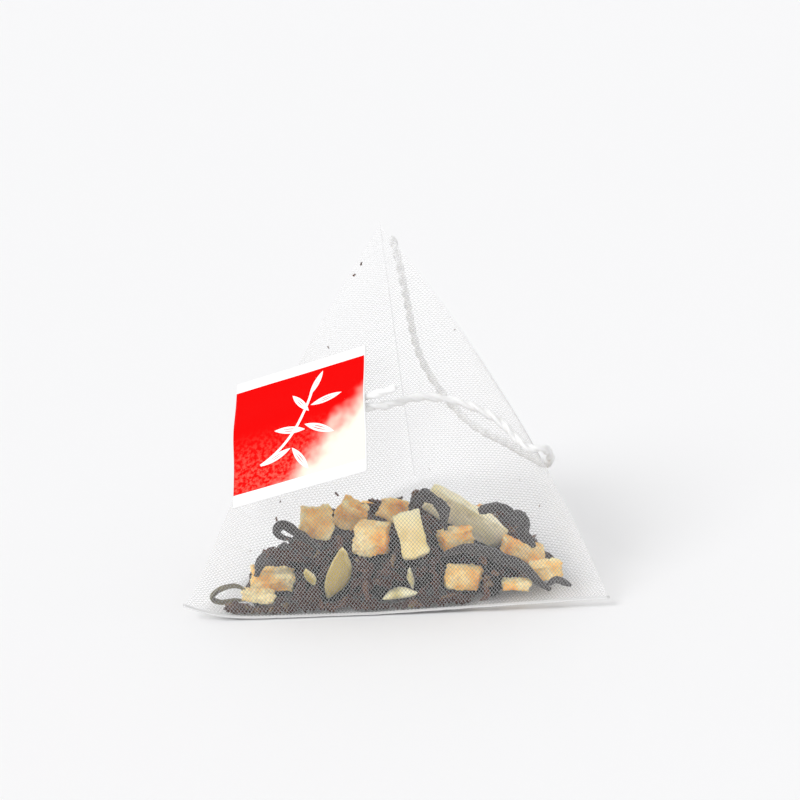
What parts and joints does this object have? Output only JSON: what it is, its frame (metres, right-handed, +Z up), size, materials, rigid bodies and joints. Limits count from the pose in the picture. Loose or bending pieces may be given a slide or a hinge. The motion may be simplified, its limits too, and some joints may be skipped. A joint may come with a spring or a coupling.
{
  "type": "pyramid tea bag",
  "caption": "Tetrahedral tea bag of woven mesh filled with dark leaf tea and diced dried fruit, with a cotton string wrapped over one face and a square paper tag.",
  "frame": {"origin": "middle of the base, on the surface that the bag rests on", "axes": "+X along the front seal, +Y from the front seal to the back corner, +Z up to the apex"},
  "size_m": [0.0584, 0.0623, 0.0502],
  "materials": {
    "mesh_cloth": "fine woven nylon, sheer",
    "fine_leaf": "dry broken leaf",
    "rolled_leaf": "dry rolled leaf",
    "petal": "dry petal",
    "dried_apple": "dried fruit, matt and porous",
    "candied_melon": "candied fruit, waxy",
    "cotton": "twisted cotton",
    "tag_paper": "printed uncoated paper"
  },
  "bodies": {
    "root": {"mesh_bag": "mesh_cloth", "leaf_bed": "fine_leaf", "leaf_01": "rolled_leaf", "leaf_02": "rolled_leaf", "leaf_03": "rolled_leaf", "leaf_04": "rolled_leaf", "leaf_05": "rolled_leaf", "leaf_06": "rolled_leaf", "leaf_07": "rolled_leaf", "leaf_08": "rolled_leaf", "leaf_09": "rolled_leaf", "leaf_10": "rolled_leaf", "leaf_11": "rolled_leaf", "leaf_12": "rolled_leaf", "leaf_13": "rolled_leaf", "leaf_14": "rolled_leaf", "leaf_15": "rolled_leaf", "leaf_16": "rolled_leaf", "petal_01": "petal", "petal_02": "petal", "petal_03": "petal", "petal_04": "petal", "apple_01": "dried_apple", "apple_02": "dried_apple", "apple_03": "dried_apple", "apple_04": "dried_apple", "apple_05": "dried_apple", "apple_06": "dried_apple", "apple_07": "dried_apple", "apple_08": "dried_apple", "apple_09": "dried_apple", "apple_10": "dried_apple", "apple_11": "dried_apple", "apple_12": "dried_apple", "apple_13": "dried_apple", "apple_14": "dried_apple", "apple_15": "dried_apple", "melon_01": "candied_melon", "melon_02": "candied_melon", "melon_03": "candied_melon", "string": "cotton", "tag": "tag_paper"}
  },
  "joints": []
}
